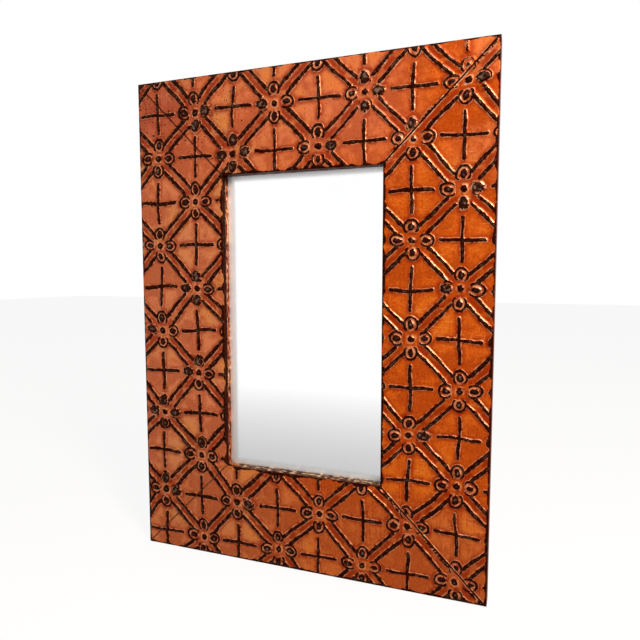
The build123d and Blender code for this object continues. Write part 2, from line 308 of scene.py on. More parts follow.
def worn_points():
    """A mesh of points, one on each worn petal."""
    half, reach = PATTERN["Pitch"] / 2, PATTERN["Petal offset"] + 1.5
    left, top = cad_box[0].x / MM + FIRST_FLOWER[0], cad_box[1].z / MM - FIRST_FLOWER[1]
    points = [
        Vector((left + column * half + WAYS[way][0] * reach, 0, top - row * half + WAYS[way][1] * reach)) * MM
        for (column, row), ways in WORN_PETALS.items()
        for way in ways
    ]
    mesh = bpy.data.meshes.new("worn_points")
    mesh.from_pydata(points, [], [])
    print(len(points), "worn petals")
    return new_object("worn_points", mesh)


WORN_POINTS = worn_points()

# %% [markdown]
# ## A folded sheet
#
# Each sheet is one long strip with the same section: a hem on the back of the rail, the outer side, the face,
# and the return at the sight edge. Sweeping a section is a rule, so Geometry Nodes do it. The section is drawn
# here as a closed line of points, fine across the face, where beads of four millimetres need several points
# each, and coarse where the sheet is plain or lies on the wood. The tree repeats it in columns, and shortens
# each row by its distance from the outer edge, which cuts both ends to a true mitre. Then it raises the
# pattern on the face and lets it die out over the folds.

# %% The section of a sheet, in millimetres
rail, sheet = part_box("wood_rail_top"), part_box("tin_sheet_top")
TIN = sheet[1].y / MM  # thickness
FACE = rail[0].y / MM - TIN  # the flat of the face
WIDTH = (sheet[1].z - sheet[0].z) / MM  # of the rail, from the outer edge to the sight edge
RETURN_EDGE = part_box("mirror_glass")[0].y / MM - 0.3  # stops short of the glass
HEM = 12.0  # how far a sheet reaches over the back of its rail
FOLD, FOLD_STEPS = 1.4, 4  # outside radius, and the steps round it
FACE_STEP, PLAIN_STEP, RETURN_STEP = 0.86, 2.6, 1.4  # spacing of the points
MITRE_GAP = 0.3  # between one sheet and the next
COLUMN = 0.95  # spacing of the columns along the outer edge


def line_points(start, end, spacing):
    """Points from start up to but not including end."""
    count = max(1, round((end - start).length / spacing))
    return [start.lerp(end, i / count) for i in range(count)]


def fold_points(corner, before, after):
    """Points round a fold: it leaves the line from before and joins the line to after."""
    back, ahead = (before - corner).normalized(), (after - corner).normalized()
    middle = corner + (back + ahead) * FOLD
    turns = [pi / 2 * i / FOLD_STEPS for i in range(FOLD_STEPS)]
    return [middle - ahead * FOLD * cos(turn) - back * FOLD * sin(turn) for turn in turns]


def sheet_section():
    """Points (depth, height) round the section, the outer ones first."""
    outside = [Vector(p) for p in ((TIN, -HEM), (TIN, 0), (FACE, 0), (FACE, -WIDTH), (RETURN_EDGE, -WIDTH))]
    steps = [PLAIN_STEP, PLAIN_STEP, FACE_STEP, RETURN_STEP]
    points = []
    start = outside[0]
    for i, step in enumerate(steps):
        end = outside[i + 1]
        ahead = (end - outside[i]).normalized()
        last = i == len(steps) - 1
        stop = end if last else end - ahead * FOLD
        points += line_points(start, stop, step)
        if not last:
            points += fold_points(end, outside[i], outside[i + 2])
            start = end + (outside[i + 2] - end).normalized() * FOLD
    points.append(outside[-1])
    inside = ((RETURN_EDGE, -WIDTH + TIN), (FACE + TIN, -WIDTH + TIN), (FACE + TIN, -TIN), (0, -TIN), (0, -HEM))
    return points + [Vector(p) for p in inside] + [outside[0]]


def carried(depth, height):
    """How much of the pattern a point of the section carries: all of it on the face, none past the folds."""
    if depth > FACE + 0.5 * FOLD:
        return 0.0
    from_fold = min(-height, WIDTH + height) / (2.5 * FOLD)
    return max(0.0, min(1.0, from_fold))


def crumpled(depth, height):
    """Whether a point lies on the return at the sight edge."""
    return float(depth > FACE + FOLD and height < -WIDTH + TIN)


def section_mesh():
    """The section as a mesh whose points know what they carry."""
    mesh = bpy.data.meshes.new("tin_section")
    points = sheet_section()
    mesh.from_pydata([(0, depth * MM, height * MM) for depth, height in points], [], [])
    outer_count = len(points) - 6
    for name, share in (("carried", carried), ("crumpled", crumpled)):
        values = [share(*point) for point in points[:outer_count]] + [0.0] * (len(points) - outer_count)
        mesh.attributes.new(name, "FLOAT", "POINT").data.foreach_set("value", values)
    print("section of", len(points), "points,", outer_count, "of them outside")
    return mesh


SECTION = section_mesh()


# %% The tree that sweeps, mitres and presses a sheet
CREASE_SPAN, DENT_SPAN = 3.6, 26.0  # size of a crumple at the sight edge, and of a dent from handling
DIP_REACH = (7.5, 2.5)  # how far from the sight edge the face starts to follow the crumples, and does so fully
WORN_REACH = (9.5, 6.0)  # how far from a worn petal wear starts, and is full


def sheet_tree(material):
    """Geometry nodes that make one folded and pressed sheet from its section."""
    sizes = dict.fromkeys(("Length", "Gap", "Reach", "Turn", "Dents", "Lip", "Crumple"), "Float")
    inputs = {"Section": "Geometry", "Columns": "Int", **sizes, "Worn petals": "Object"}
    tree = new_tree("tin_sheet", "GeometryNodeTree", inputs, {"Sheet": "Geometry"})
    given = add(tree, "NodeGroupInput").outputs

    # A plain grid: each column is the section, each row a point of it.
    rows = add(tree, "GeometryNodeAttributeDomainSize", given["Section"]).outputs["Point Count"]
    grid = add(tree, "GeometryNodeMeshGrid", 2.0, 1.0, given["Columns"], rows).outputs["Mesh"]
    row = add(tree, "FLOORED_MODULO", add(tree, "GeometryNodeInputIndex"), rows)
    position = add(tree, "GeometryNodeInputPosition")
    on_section = add(tree, "GeometryNodeSampleIndex", given["Section"], position, row, data_type="FLOAT_VECTOR")
    share, crumpled = (
        add(tree, "GeometryNodeSampleIndex", given["Section"], mark, row, data_type="FLOAT")
        for mark in (add(tree, "GeometryNodeInputNamedAttribute", name) for name in ("carried", "crumpled"))
    )
    _, depth, height = add(tree, "ShaderNodeSeparateXYZ", on_section).outputs
    along = add(tree, "ShaderNodeSeparateXYZ", position).outputs["X"]

    # The mitre: a row's half length is less by its distance from the outer edge.
    half = add(tree, "MULTIPLY_ADD", given["Length"], 0.5, height)
    half = add(tree, "SUBTRACT", half, ("MULTIPLY", given["Gap"], sqrt(2) / 2))
    flat = add(tree, "ShaderNodeCombineXYZ", ("MULTIPLY", along, half), depth, height)

    # The sight edge is crumpled: the return waves in and out, and the face dips and lifts beside the fold.
    crease = add(tree, VECTOR, flat, (0.5, 1, 1), operation="MULTIPLY")
    crease = add(tree, NOISE, crease, Scale=1 / (CREASE_SPAN * MM), Detail=2.0)
    crease = add(tree, "MULTIPLY", ("SUBTRACT", crease.outputs[0], 0.42), given["Crumple"])
    waved = add(tree, "SUBTRACT", height, ("MULTIPLY", crease, crumpled))
    flat = add(tree, "ShaderNodeCombineXYZ", ("MULTIPLY", along, half), depth, waved)
    beside = mask(tree, (height, *((reach - WIDTH) * MM for reach in DIP_REACH)))
    moved = add(tree, "ShaderNodeCombineXYZ", 0.0, 0.0, given["Reach"])
    moved = add(tree, VECTOR, flat, moved, operation="ADD")
    placed = add(tree, "ShaderNodeVectorRotate", moved, Angle=given["Turn"], rotation_type="Y_AXIS")

    # The pattern on the face, and shallow dents from handling.
    seen = add(tree, "GeometryNodeObjectInfo", given["Worn petals"]).outputs["Geometry"]
    level = add(tree, VECTOR, placed, (1, 0, 1), operation="MULTIPLY")
    near = add(tree, "GeometryNodeProximity", seen, Sample_Position=level, target_element="POINTS")
    worn = mask(tree, (near.outputs["Distance"], *(reach * MM for reach in WORN_REACH)))
    pattern = add(tree, "GeometryNodeGroup", placed, worn, node_tree=RAISED_PATTERN)
    dent = add(tree, NOISE, placed, Scale=1 / (DENT_SPAN * MM), Detail=2.0).outputs[0]
    dent = add(tree, "MULTIPLY", ("SUBTRACT", dent, 0.55), given["Dents"])
    from_mitre = add(tree, "DIVIDE", ("MULTIPLY", half, ("SUBTRACT", 1.0, ("ABSOLUTE", along))), MM)
    whole = add(tree, RANGE, from_mitre, 0.0, 3.5, 0.35, 1.0, **SMOOTH)
    rise = add(tree, "MULTIPLY_ADD", ("MULTIPLY", pattern.outputs["Height"], whole), MM, dent)
    lip = mask(tree, (from_mitre, 2.4, 0.8), given["Lip"])
    rise = add(tree, "MULTIPLY_ADD", crease, beside, ("ADD", rise, lip))
    rise = add(tree, "MULTIPLY", ("MULTIPLY", rise, share), -1.0)
    offset = add(tree, "ShaderNodeCombineXYZ", 0.0, rise, 0.0)

    # What the finish needs to know, stored while the points are still where these sums expect them: how far a
    # point is from the folds, from the mitre and from a worn petal.
    marks = {
        "from_outer": add(tree, "DIVIDE", height, -MM),
        "from_back": add(tree, "DIVIDE", depth, -MM),
        "from_mitre": from_mitre,
        "worn": worn,
    }
    mesh = grid
    for name, mark in marks.items():
        mesh = add(tree, "GeometryNodeStoreNamedAttribute", mesh, None, name, mark, data_type="FLOAT")
    mesh = add(tree, "GeometryNodeSetPosition", mesh, None, placed, offset)
    mesh = add(tree, "GeometryNodeMergeByDistance", mesh, Distance=MM / 100)
    mesh = add(tree, "GeometryNodeRealizeInstances", mesh)
    mesh = add(tree, "GeometryNodeSetMaterial", mesh, None, material)
    add(tree, "NodeGroupOutput", mesh)
    print("tin_sheet has", len(tree.nodes), "nodes")
    return tree


# %% [markdown]
# ## From a tree to a plain mesh
#
# A modifier's inputs go by the identifier of their socket, and they are set before the object is first worked
# out. The result is copied to a plain mesh and the modifier goes. A sheet still has its two mitred ends open,
# so they are filled, and edges sharper than a bead's flank stay sharp.

# %% Grow, close and hand over a piece
def grown(name, base, tree, inputs):
    """A plain mesh object from a base mesh and a geometry tree with these named inputs."""
    piece = new_object(name, base)
    modifier = piece.modifiers.new(name, "NODES")
    modifier.node_group = tree
    sockets = {s.name: s.identifier for s in tree.interface.items_tree if s.in_out == "INPUT"}
    for label, value in inputs.items():
        modifier[sockets[label]] = value
    graph = bpy.context.evaluated_depsgraph_get()
    shape = piece.evaluated_get(graph)
    mesh = bpy.data.meshes.new_from_object(shape, preserve_all_data_layers=True, depsgraph=graph)
    piece.modifiers.remove(modifier)
    piece.data = mesh
    mesh.name = name
    return piece


def closed(piece, sharp=60.0):
    """Fill what is open, turn every face outwards, and smooth all but the sharp edges."""
    work = bmesh.new()
    work.from_mesh(piece.data)
    open_edges = [edge for edge in work.edges if edge.is_boundary]
    if open_edges:
        bmesh.ops.holes_fill(work, edges=open_edges, sides=0)
    bmesh.ops.recalc_face_normals(work, faces=work.faces)
    for face in work.faces:
        face.smooth = True
    work.to_mesh(piece.data)
    still_open = sum(edge.is_boundary for edge in work.edges)
    triangles = sum(len(face.verts) - 2 for face in work.faces)
    work.free()
    piece.data.set_sharp_from_angle(angle=radians(sharp))
    print(f"{piece.name}: {triangles} triangles, {still_open} open edges")
    return piece


def handed_over(piece, body, slot, *nodes):
    """Ride on a body and stand for the nodes, which are hidden. The slot is not used."""
    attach(piece, body)
    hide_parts(*nodes)


# %% [markdown]
# ## How a finish is built
#
# Every finish here is a colour in layers: a ground, and over it one colour after another, each laid where its
# mask says. The masks read what can be measured: the place, a noise, or a mark that a sheet's tree stored.

# %% Material helpers
def surface(name, **settings):
    """A new material with its shader's sockets set. Gives the material, its tree, the shader and the place."""
    material = bpy.data.materials.new(name)
    material.use_nodes = True
    tree = material.node_tree
    shader = feed(tree, tree.nodes["Principled BSDF"], **settings)
    return material, tree, shader, add(tree, "ShaderNodeTexCoord").outputs["Object"]


def layered(tree, ground, layers):
    """The ground with each layer mixed over it. A layer is a hex colour and the parts of its mask."""
    for colour, *parts in layers:
        share = mask(tree, *parts)
        ground = add(tree, "ShaderNodeMix", Factor=share, A=ground, B=linear(colour), data_type="RGBA")
    return ground


def clouds(tree, place, *sizes):
    """One noise for each size in millimetres."""
    return [add(tree, NOISE, place, Scale=1 / (size * MM), Detail=3.0).outputs[0] for size in sizes]


# %% [markdown]
# ## The lacquered and blackened finish
#
# Tin plate is steel with a bright skin. Here it wears a translucent lacquer, brushed on warm: copper orange
# where it is thin, deep red where it ran and pooled beside the beads, pinker along the top and browner down the
# left side, where the light has dulled it. Part of that deep red is painted shade beside the beads. Over that
# lies black that a cloth left only on what stands up; the pale rims beside it and the sheen on it are partly
# painted highlight. The colour is built in layers in that order, and the masks read the same pattern that
# raised the metal. So the first cells measure where a point is, which noise it lies in and which part of the
# frame it belongs to.

# %% Lacquered tin: where a point is
LACQUERED_TIN, tree, shader, place = surface(
    "lacquered_embossed_tin", Coat_Roughness=0.2, Specular_IOR_Level=0.01
)
facing = add(tree, "ShaderNodeNewGeometry").outputs["Normal"]
from_outer, from_back, from_mitre, worn = (
    add(tree, "ShaderNodeAttribute", attribute_name=name).outputs["Fac"]
    for name in ("from_outer", "from_back", "from_mitre", "worn")
)
pattern = add(tree, "ShaderNodeGroup", place, worn, node_tree=PAINTED_PATTERN)
height, paint, trough, near = pattern.outputs
across, _, upward = add(tree, "ShaderNodeSeparateXYZ", place).outputs
past_diagonal = add(tree, "ADD", across, upward)  # most at the top right corner
on_face = mask(tree, (from_back, -FACE - 1.3, -FACE - 0.2))
off_face = add(tree, "SUBTRACT", 1.0, on_face)
from_sight = add(tree, "SUBTRACT", WIDTH, from_outer)
at_sight = mask(tree, (from_sight, 3.0, 0.5))
print("sight edges", [round(cad_box[1][i] / MM - WIDTH, 1) for i in (0, 2)], "mm from the middle")

# %% Lacquered tin: noise
# As large as a cloud of lacquer, a drip, a crumple and a rag's edge, and some drawn out like brush hairs.
cloud, drip, crumple, rag = clouds(tree, place, 46, 11, 4.2, 2.2)
hairs = clouds(tree, add(tree, "ShaderNodeMapping", place, Scale=(1.0, 1.0, 0.05)), 1.5)[0]
slanting = add(tree, "ShaderNodeMapping", place, Scale=(0.12, 1, 1), Rotation=(0, 0.5, 0))
scratches = clouds(tree, slanting, 1.3)[0]
unfolded = ("MULTIPLY", ("ADD", from_outer, from_back), MM)  # a length across the sheet as it was when flat
unrolled = add(tree, "ShaderNodeCombineXYZ", unfolded, ("MULTIPLY", past_diagonal, 0.45), 0.0)
crease = clouds(tree, unrolled, 3.4)[0]
print("lacquer has", len(tree.nodes), "nodes so far")

# %% Lacquered tin: which parts of the frame
leftness = mask(tree, (across, 0.06, -0.14))
topness = mask(tree, (upward, 0.13, 0.22), (across, 0.16, 0.06))
lowness = mask(tree, (upward, -0.16, -0.21), 0.5)
at_right = mask(tree, (across, 0.05, 0.1))
# Deep red beside the beads and in the ribs' hollows: partly lacquer that pooled there, partly painted shade.
pooled_and_shaded = mask(tree, near, (drip, 0.32, 0.56), 0.9)
in_trough = mask(tree, trough, (drip, 0.28, 0.52), 0.85)
in_field = mask(tree, (("MULTIPLY_ADD", drip, 0.5, cloud), 0.84, 0.64), 0.45)
deep = add(tree, "MAXIMUM", ("MAXIMUM", pooled_and_shaded, in_trough), in_field)
print("lacquer has", len(tree.nodes), "nodes so far")

# %% [markdown]
# ## The black
#
# The edge of the black is a measure too: 1 where a steady hand would have stopped, less towards the middle of a
# bead. Noise makes it ragged. At the right-hand mitres it is crushed away, on worn petals it is spread, and one
# rib by the top right corner is rubbed bare. On the right, the flanks that face the key lamp at the upper right
# lose some of their black, and a painted highlight takes its place. More black lies along the folds, in the
# mitres and in specks.

# %% Lacquered tin: the black
RUBBED_RIB = (past_diagonal, 0.415, 0.445), (("SUBTRACT", upward, across), 0.075, 0.085)
edge = add(tree, "MULTIPLY_ADD", rag, 0.85, paint)
edge = add(tree, "SUBTRACT", ("MULTIPLY_ADD", drip, 0.6, edge), 0.73)
crushed = mask(tree, (from_mitre, 5.5, 2.0), at_right)
for share, rag_part, shift in ((crushed, 3.0, -0.85), (worn, 1.2, -0.6), (mask(tree, *RUBBED_RIB), 2.6, -0.6)):
    edge = add(tree, "MULTIPLY_ADD", share, ("MULTIPLY_ADD", rag, rag_part, shift), edge)
edge = add(tree, "ADD", edge, ("MULTIPLY", off_face, 6.0))
edge = add(tree, "MULTIPLY_ADD", leftness, -0.14, edge)
# Painted highlight: on the right of the frame, flanks that face the key lamp at the upper right have their
# black pulled back so that painted cream shows there.
towards_key_lamp = add(tree, VECTOR, facing, (0.707, 0.0, 0.707), operation="DOT_PRODUCT")
lamp_facing_flank = mask(tree, (towards_key_lamp, 0.26, 0.5), at_right, (past_diagonal, -0.12, 0.2), (drip, 0.38, 0.6))
edge = add(tree, "MULTIPLY_ADD", lamp_facing_flank, 0.4, edge)
beads = mask(tree, (edge, 1.1, 0.92))
nearest_fold = ("MINIMUM", from_outer, ("MULTIPLY", from_sight, 0.75))
fold_reach = ("MULTIPLY_ADD", drip, 6.5, ("MULTIPLY_ADD", near, 1.2, -3.3))
fold_reach = ("MULTIPLY_ADD", crease, 2.2, ("MULTIPLY_ADD", lowness, 1.6, fold_reach))
folds = mask(tree, (("SUBTRACT", nearest_fold, fold_reach), 0.35, -0.35), on_face)
spotted = ("MULTIPLY_ADD", ("MULTIPLY", topness, leftness), 0.12, rag)
speck = mask(tree, (("MULTIPLY_ADD", crumple, 0.25, spotted), 0.86, 0.89))
black = add(tree, "MAXIMUM", ("MAXIMUM", beads, folds), speck)
mitre_gap = ("MULTIPLY_ADD", at_right, -0.45, ("MULTIPLY_ADD", rag, -0.9, from_mitre))
mitre = mask(tree, (mitre_gap, 0.45, 0.1), on_face)
print("lacquer has", len(tree.nodes), "nodes so far")

# %% Lacquered tin: rubbed rims and painted highlights
domed = mask(tree, (height, 1.4, 1.65))
# Painted highlight along the lifted lip of the right-hand mitres.
lip = mask(tree, (from_mitre, 2.6, 1.4), at_right, (drip, 0.4, 0.55), on_face, 0.8)
# Pale rim beside the black: partly lacquer rubbed thin, partly painted highlight.
halo = add(tree, "MAXIMUM", mask(tree, (edge, 1.7, 1.2), (crumple, 0.34, 0.64), on_face, 0.72), lip)
# Painted cream highlights on the flanks that face the key lamp, and on the rims near the top right corner.
flank_highlight = mask(tree, lamp_facing_flank, (edge, 2.1, 1.4), on_face, (rag, 0.36, 0.56), 0.52)
cream_highlight = mask(tree, halo, (past_diagonal, 0.22, 0.34), (drip, 0.48, 0.6), 0.45)
cream_highlight = add(tree, "MAXIMUM", cream_highlight, flank_highlight)
print("lacquer has", len(tree.nodes), "nodes so far")

# %% [markdown]
# ## Past the folds
#
# On the side walls the black is smeared. The return at the sight edge was crumpled as it was pushed round the
# board: it is black beside the fold, its creases get painted shade, and on their crests, where the finish has
# cracked off to the metal, painted glints. Under the top rail the whole return is painted black as shade. Apart
# from that, how it wore differs from side to side.

# %% Lacquered tin: past the folds
# Where the return turns from one side of the opening to the next, in metres from the middle.
LOW_RETURN, HIGH_RETURN, LEFT_RETURN = (upward, -0.155, -0.163), (upward, 0.155, 0.163), (across, -0.084, -0.09)
on_return = mask(tree, at_sight, off_face)
rubbed_side = ("MULTIPLY_ADD", hairs, 0.35, ("MULTIPLY", drip, 0.65))
smeared = mask(tree, off_face, (rubbed_side, 0.72, 0.36), ("MULTIPLY_ADD", at_sight, -0.6, 0.85))
low_return = mask(tree, on_return, LOW_RETURN, (across, -0.086, -0.072))
at_left = mask(tree, LEFT_RETURN)
band = ("MULTIPLY", crease, ("MULTIPLY_ADD", at_left, 8.0, 2.0))
beside_fold = mask(tree, (("SUBTRACT", ("SUBTRACT", -FACE, from_back), band), 0.6, -0.6))
# Painted shade in the creases of the return, measured from the fold and a crease noise.
crease_shade = add(tree, "MULTIPLY_ADD", beside_fold, -0.3, crease)
# Crests cracked to the metal, with painted glints: a few more on the bottom return, none under the top rail,
# which is painted as shade.
crests = ("MULTIPLY_ADD", low_return, 0.02, crease_shade)
crests = ("MULTIPLY_ADD", mask(tree, HIGH_RETURN), -0.2, crests)
cracked_and_glinting = mask(tree, on_return, (crests, 0.56, 0.63), 0.8)
print("lacquer has", len(tree.nodes), "nodes so far")

# %% Lacquered tin: the layers, from the metal out
LACQUER, DEEP_RED, STREAK, BLACK = "B84E0C", "7E1A00", "D4762E", "220500"
base = layered(tree, linear(LACQUER), [
    ("C0704C", leftness), ("C66A44", topness), ("B4683A", lowness),
    ("AC7C4E", leftness, (cloud, 0.5, 0.66), 0.6),  # dulled to tan in clouds
    (STREAK, (hairs, 0.5, 0.75), ("MULTIPLY_ADD", leftness, 0.28, 0.1)), (STREAK, (rag, 0.5, 0.7), 0.42),
    ("D0701C", (("MULTIPLY_ADD", drip, -0.4, cloud), 0.34, 0.5), ("SUBTRACT", 1.0, near), 0.4),  # thin
    ("C67A52", (across, 0.14, 0.19), (upward, 0.1, 0.2), (cloud, 0.35, 0.6), 0.35),  # pale top right corner
    (DEEP_RED, (hairs, 0.47, 0.34), (drip, 0.4, 0.6), (upward, -0.1, -0.2), (across, -0.06, 0.04), 0.6),
    ("904A3C", (across, -0.1, -0.19), (upward, 0.15, 0.25), (drip, 0.3, 0.5), 0.6),  # old top left corner
    # Dark red in streaks, then the deep red beside the beads and in the ribs' hollows, partly pooled lacquer
    # and partly painted shade.
    (DEEP_RED, (("MULTIPLY_ADD", hairs, 0.5, rag), 0.72, 0.5), 0.42), (DEEP_RED, deep),
    ("E09A5C", (scratches, 0.58, 0.7), (cloud, 0.5, 0.62), (across, 0.1, 0.14), 0.5),  # scuffs
    ("6A1E06", (edge, 2.1, 1.1), (crumple, 0.52, 0.36), on_face, 0.85),  # painted shade beside the black
    # Pale rims, partly rubbed thin and partly painted highlight; painted cream highlights on the lamp-facing
    # flanks and top right; painted glints on the mitre lip.
    ("CC8A64", halo), ("EFC8A2", cream_highlight), ("FFE2B4", lip, (crumple, 0.58, 0.66)),  # partly rubbed pale, partly painted highlight
    (BLACK, smeared), (BLACK, black),
    ("44220F", black, (rag, 0.5, 0.68), 0.35),  # brown where the black is thin
    ("6A4E3C", beads, (edge, 0.6, 0.1), (crumple, 0.5, 0.64), 0.4),  # grey on the crowns of the beads, partly worn black, partly painted sheen
    ("8A7260", domed, on_face, (edge, 0.5, 0.1), (crumple, 0.46, 0.64), 0.45),  # grey on the domes, partly tin rubbed bare, partly painted sheen
    ("2E0600", mitre), ("5A4636", low_return, 0.85),
    (BLACK, on_return, (crease_shade, 0.5, 0.42), 0.9),  # painted shade in the creases of the return
    # The return under the top rail painted black as shade; black beside the fold on the left return.
    (BLACK, on_return, HIGH_RETURN, 0.85), (BLACK, beside_fold, on_return, at_left),
    ("D6B590", cracked_and_glinting), ("9A958C", (from_back, 0.3, -0.1)),  # crests cracked to the metal, with painted glints, and the bare hem
])
print("lacquer has", len(tree.nodes), "nodes so far")

# %% [markdown]
# ## Shine and fine relief
#
# The masks that make the lacquer pale, partly where it was rubbed thin and partly as painted highlight, also
# make it metal, so the tin shines where they are. A clear coat lies thinly over the face, thickest on the domes
# of the petals and least on the black, which is matt. The black stands a little proud, brush hairs and the rag
# left fine lines, and the return is crumpled more finely than its mesh, so these go into the bump.

# %% Lacquered tin: shine and fine relief
wet = mask(tree, ("MULTIPLY_ADD", domed, 0.08, ("MULTIPLY_ADD", black, -0.03, 0.03)), on_face)
bright = ("MULTIPLY_ADD", halo, 0.65, ("MULTIPLY", cream_highlight, 0.5))
bright = ("MAXIMUM", bright, ("MULTIPLY", cracked_and_glinting, 0.8))
relief = ("MULTIPLY_ADD", rag, 0.3, ("MULTIPLY", hairs, 0.12))
relief = ("MULTIPLY_ADD", black, 0.25, relief)
relief = ("MULTIPLY_ADD", mask(tree, crease, at_sight), 3.0, relief)
feed(
    tree, shader, Base_Color=base,
    Coat_Weight=("ADD", wet, 0.005),
    Metallic=("MAXIMUM", bright, ("MULTIPLY_ADD", on_face, 0.2, 0.15)),
    Roughness=("MULTIPLY_ADD", black, 0.12, add(tree, RANGE, drip, 0.3, 0.7, 0.26, 0.42)),
    Normal=add(tree, "ShaderNodeBump", Strength=0.6, Distance=0.4 * MM, Height=relief),
)
print("lacquered_embossed_tin has", len(tree.nodes), "nodes")

# %% [markdown]
# ## The four sheets
#
# One tree grows all four. They differ in length, in turn and in how much they were crumpled at the sight edge,
# which is most on the left. The ends of the upright sheets were lifted a little more at the mitres.

# %% Four sheets
CRUMPLE = {"top": 0.7, "right": 0.7, "bottom": 1.1, "left": 1.5}  # height of the creases at the sight edge, mm
SHEET_TREE = sheet_tree(LACQUERED_TIN)
for side, turn in SIDES.items():
    upright = side in ("left", "right")
    length = (cad_box[1].z - cad_box[0].z) if upright else (cad_box[1].x - cad_box[0].x)
    reach = (cad_box[1].x - cad_box[0].x) / 2 if upright else (cad_box[1].z - cad_box[0].z) / 2
    piece = grown(f"pressed_sheet_{side}", SECTION, SHEET_TREE, {
        "Columns": round(length / MM / COLUMN),
        "Length": length,
        "Gap": MITRE_GAP * MM,
        "Reach": reach,
        "Turn": radians(turn),
        "Dents": 0.6 * MM,
        "Lip": (0.55 if upright else 0.2) * MM,
        "Crumple": CRUMPLE[side] * MM,
        "Worn petals": WORN_POINTS,
    })
    handed_over(closed(piece), "frame", "embossed_tin", f"tin_sheet_{side}")
bpy.data.objects.remove(WORN_POINTS)

# %% [markdown]
# ## Tacks and screws
#
# The hem is tacked to the back of each rail every 130 mm or so, and one screw holds each hanger strap. A row
# of equal things is what instances are for: the tree puts one fastener on each point of a line, gives each its
# own turn as a hand would, and makes the copies real. A tack is cut from blued plate, with a head that is
# hammered slightly domed and a square shank. A screw has a pan head with a cross recess, which is cut with a
# boolean because that is what the punch does.

# %% A row of fasteners
def row_tree(material):
    """Geometry nodes that put the base mesh on each place of a row, turned a little at random."""
    inputs = {
        "Fastener": "Geometry", "Count": "Int", "Start": "Vector", "Step": "Vector", "Turn": "Float",
        "Spin": "Float",
    }
    tree = new_tree("fastener_row", "GeometryNodeTree", inputs, {"Row": "Geometry"})
    given = add(tree, "NodeGroupInput").outputs
    line = add(
        tree, "GeometryNodeMeshLine", given["Count"], Start_Location=given["Start"], Offset=given["Step"]
    )
    chance = add(tree, "FunctionNodeRandomValue", Min=-1.0, Max=1.0, Seed=7, data_type="FLOAT")
    spin = add(tree, "ShaderNodeCombineXYZ", 0.0, ("MULTIPLY", chance, given["Spin"]), 0.0)
    row = add(tree, "GeometryNodeInstanceOnPoints", line, Instance=given["Fastener"], Rotation=spin)
    row = add(tree, "GeometryNodeRealizeInstances", row)
    turn = add(tree, "ShaderNodeCombineXYZ", 0.0, given["Turn"], 0.0)
    row = add(tree, "GeometryNodeTransform", row, Rotation=turn)
    row = add(tree, "GeometryNodeSetMaterial", row, None, material)
    add(tree, "NodeGroupOutput", row)
    print("fastener_row has", len(tree.nodes), "nodes")
    return tree


def lathe(work, profile, sides):
    """Rings of points about the Y axis from (radius, y) pairs, skinned, with a flat face at each end."""
    rings = [
        [work.verts.new((r * cos(2 * pi * i / sides), y, r * sin(2 * pi * i / sides))) for i in range(sides)]
        for r, y in profile
    ]
    for lower, upper in zip(rings, rings[1:]):
        for i in range(sides):
            work.faces.new((lower[i - 1], lower[i], upper[i], upper[i - 1]))
    work.faces.new(rings[0][::-1])
    work.faces.new(rings[-1])


def mesh_of(name, work):
    """A mesh from a bmesh, its faces turned outwards."""
    bmesh.ops.recalc_face_normals(work, faces=work.faces)
    mesh = bpy.data.meshes.new(name)
    work.to_mesh(mesh)
    work.free()
    return mesh


# %% One tack
TACK_HEAD, TACK_CROWN, TACK_SHANK, TACK_LENGTH = 4.6, 0.5, 1.2, 9.0  # millimetres
print("tack", TACK_LENGTH + TIN + TACK_CROWN, "mm over all")


def tack_mesh():
    """A cut tack: a domed head over a square shank that tapers to a blunt point."""
    work = bmesh.new()
    seat, top = TIN, TIN + TACK_CROWN
    head = [(1.0, seat), (0.97, seat + 0.3 * TACK_CROWN), (0.8, top - 0.14), (0.45, top - 0.03), (0.12, top)]
    lathe(work, [(r * TACK_HEAD / 2 * MM, y * MM) for r, y in head], 10)
    half, tip = TACK_SHANK / 2 * MM, 0.2 * MM
    square = ((-1, -1), (1, -1), (1, 1), (-1, 1))
    upper = [work.verts.new((x * half, (seat + 0.05) * MM, z * half)) for x, z in square]
    lower = [work.verts.new((x * tip, -TACK_LENGTH * MM, z * tip)) for x, z in square]
    for i in range(4):
        work.faces.new((upper[i - 1], upper[i], lower[i], lower[i - 1]))
    work.faces.new(upper)
    work.faces.new(lower[::-1])
    return mesh_of("cut_tack", work)


# %% One screw
SCREW_HEAD, SCREW_CROWN, SCREW_SHANK, SCREW_LENGTH = 7.0, 2.2, 3.5, 12.7  # millimetres
RECESS_DEPTH, RECESS_ARM, RECESS_WIDTH = 1.5, 4.0, 0.9  # of the cross
STRAP = 1.0  # thickness of the strap that the head sits on
print("screw", SCREW_LENGTH + SCREW_CROWN, "mm over all")


